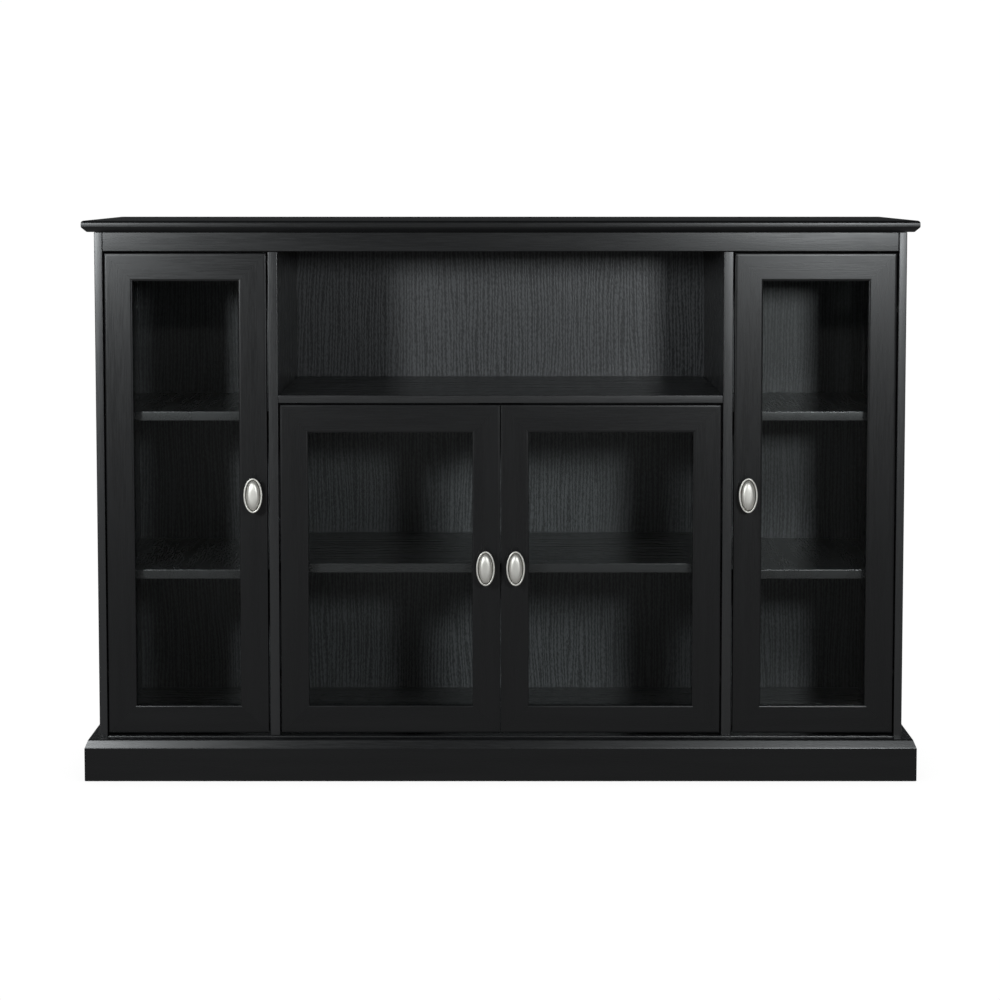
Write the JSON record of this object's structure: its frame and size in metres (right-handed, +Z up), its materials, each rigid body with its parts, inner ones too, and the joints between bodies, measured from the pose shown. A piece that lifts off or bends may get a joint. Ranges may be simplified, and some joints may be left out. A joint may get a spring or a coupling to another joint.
{
  "type": "media cabinet",
  "caption": "Low black media cabinet with an open bay over paired glazed doors, a tall glazed door at each side, adjustable shelves, oval knobs and a moulded plinth.",
  "frame": {"origin": "on the floor, under the middle of the box that holds the cabinet and its knobs", "axes": "+X to the right across the front, +Y from the doors to the back, +Z up"},
  "size_m": [1.321, 0.4084, 0.889],
  "materials": {
    "black_wood": "satin black paint over a faint grain",
    "back_panel": "black laminate embossed with vertical grain",
    "glass": "clear, polished",
    "nickel": "brushed satin nickel",
    "hinge_steel": "bright nickel plate"
  },
  "bodies": {
    "carcass": {"back_panel_center": "back_panel", "back_panel_left": "back_panel", "back_panel_right": "back_panel", "bottom_board": "black_wood", "divider_left": "black_wood", "divider_right": "black_wood", "door_center_left_hinge_arm_lower": "hinge_steel", "door_center_left_hinge_arm_upper": "hinge_steel", "door_center_right_hinge_arm_lower": "hinge_steel", "door_center_right_hinge_arm_upper": "hinge_steel", "door_left_hinge_arm_lower": "hinge_steel", "door_left_hinge_arm_upper": "hinge_steel", "door_right_hinge_arm_lower": "hinge_steel", "door_right_hinge_arm_upper": "hinge_steel", "media_shelf": "black_wood", "plinth_back": "black_wood", "plinth_front": "black_wood", "plinth_left": "black_wood", "plinth_right": "black_wood", "shelf_center": "black_wood", "shelf_left_lower": "black_wood", "shelf_left_upper": "black_wood", "shelf_right_lower": "black_wood", "shelf_right_upper": "black_wood", "side_panel_left": "black_wood", "side_panel_right": "black_wood", "top_board": "black_wood", "top_rail": "black_wood"},
    "door_left": {"door_left_glass": "glass", "door_left_hinge_cup_lower": "hinge_steel", "door_left_hinge_cup_upper": "hinge_steel", "door_left_knob": "nickel", "door_left_rail_bottom": "black_wood", "door_left_rail_top": "black_wood", "door_left_stile_left": "black_wood", "door_left_stile_right": "black_wood"},
    "door_center_left": {"door_center_left_glass": "glass", "door_center_left_hinge_cup_lower": "hinge_steel", "door_center_left_hinge_cup_upper": "hinge_steel", "door_center_left_knob": "nickel", "door_center_left_rail_bottom": "black_wood", "door_center_left_rail_top": "black_wood", "door_center_left_stile_left": "black_wood", "door_center_left_stile_right": "black_wood"},
    "door_center_right": {"door_center_right_glass": "glass", "door_center_right_hinge_cup_lower": "hinge_steel", "door_center_right_hinge_cup_upper": "hinge_steel", "door_center_right_knob": "nickel", "door_center_right_rail_bottom": "black_wood", "door_center_right_rail_top": "black_wood", "door_center_right_stile_left": "black_wood", "door_center_right_stile_right": "black_wood"},
    "door_right": {"door_right_glass": "glass", "door_right_hinge_cup_lower": "hinge_steel", "door_right_hinge_cup_upper": "hinge_steel", "door_right_knob": "nickel", "door_right_rail_bottom": "black_wood", "door_right_rail_top": "black_wood", "door_right_stile_left": "black_wood", "door_right_stile_right": "black_wood"}
  },
  "joints": [
    {"name": "door_left_swing", "type": "hinge", "parent": "carcass", "child": "door_left", "pos_m": [-0.62385, -0.17825, 0.45545], "axis": [0, 0, -1], "range_deg": [0, 105]},
    {"name": "door_center_left_swing", "type": "hinge", "parent": "carcass", "child": "door_center_left", "pos_m": [-0.3487, -0.17825, 0.33575], "axis": [0, 0, -1], "range_deg": [0, 105]},
    {"name": "door_center_right_swing", "type": "hinge", "parent": "carcass", "child": "door_center_right", "pos_m": [0.3487, -0.17825, 0.33575], "axis": [0, 0, 1], "range_deg": [0, 105]},
    {"name": "door_right_swing", "type": "hinge", "parent": "carcass", "child": "door_right", "pos_m": [0.62385, -0.17825, 0.45545], "axis": [0, 0, 1], "range_deg": [0, 105]}
  ]
}
